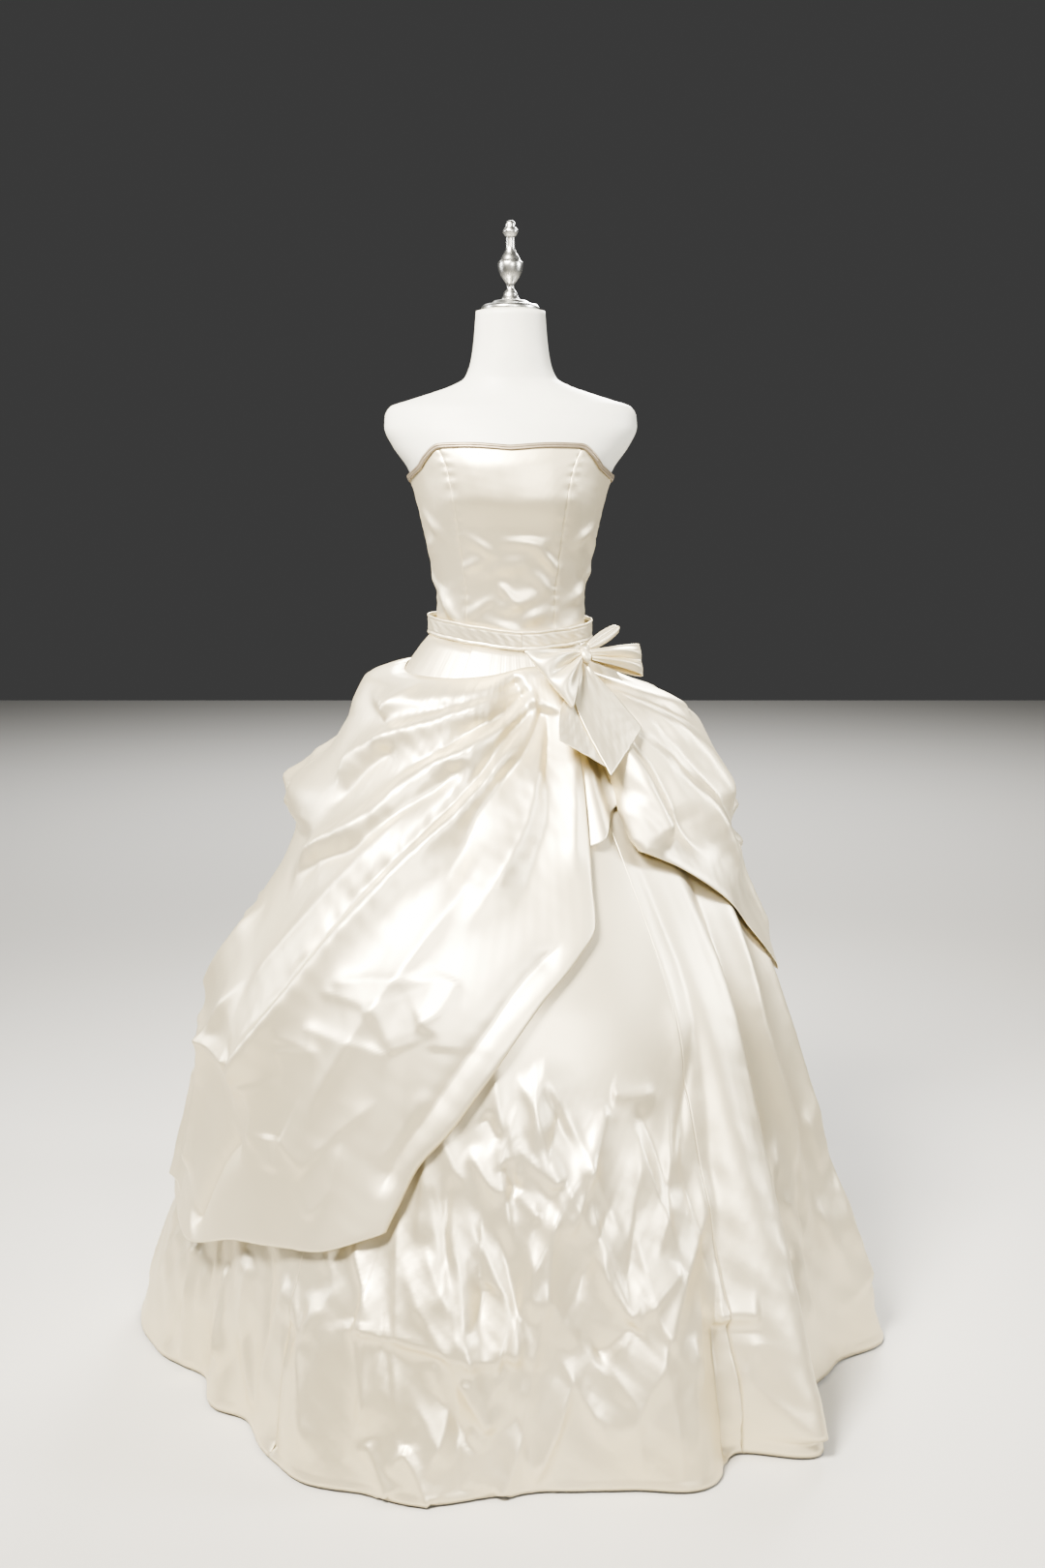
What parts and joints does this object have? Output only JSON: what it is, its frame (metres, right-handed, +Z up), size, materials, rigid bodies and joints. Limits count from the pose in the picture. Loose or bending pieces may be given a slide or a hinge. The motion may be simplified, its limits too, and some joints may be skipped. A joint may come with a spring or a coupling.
{
  "type": "ball gown on a dress form",
  "caption": "Strapless satin ball gown with a boned bodice, narrow belt, side bow, draped and bustled overskirt and full floor-length underskirt, on a limbless dress form with a stand.",
  "frame": {"origin": "centre of the stand plate's underside, on the floor under the form's pole", "axes": "+Z up along the pole; the gown's front faces -Y; +X is to the right of someone facing the front, the side that the bow is on"},
  "size_m": [1.1952, 1.1983, 1.7095],
  "materials": {
    "ivory_satin": "satin",
    "taupe_satin": "satin",
    "form_white": "smooth matt",
    "silver_finial": "polished",
    "steel_pole": "brushed",
    "painted_steel": "satin paint"
  },
  "bodies": {
    "root": {"bodice_centre_front": "ivory_satin", "bodice_side_front_left": "ivory_satin", "bodice_side_front_right": "ivory_satin", "bodice_side_back_left": "ivory_satin", "bodice_side_back_right": "ivory_satin", "bodice_back_left": "ivory_satin", "bodice_back_right": "ivory_satin", "waist_belt": "ivory_satin", "underskirt_front": "ivory_satin", "underskirt_side_left": "ivory_satin", "underskirt_side_right": "ivory_satin", "underskirt_back_left": "ivory_satin", "underskirt_back_right": "ivory_satin", "overskirt_swag_left": "ivory_satin", "overskirt_drape_right": "ivory_satin", "overskirt_bustle_left": "ivory_satin", "overskirt_bustle_right": "ivory_satin", "overskirt_cascade": "ivory_satin", "bow_loop_left": "ivory_satin", "bow_loop_right": "ivory_satin", "bow_knot": "ivory_satin", "bow_tail_front": "ivory_satin", "bow_tail_back": "ivory_satin", "bow_streamer": "ivory_satin", "neckline_binding": "taupe_satin", "dress_form": "form_white", "neck_cap": "silver_finial", "finial": "silver_finial", "stand_pole": "steel_pole", "stand_plate": "painted_steel"}
  },
  "joints": []
}
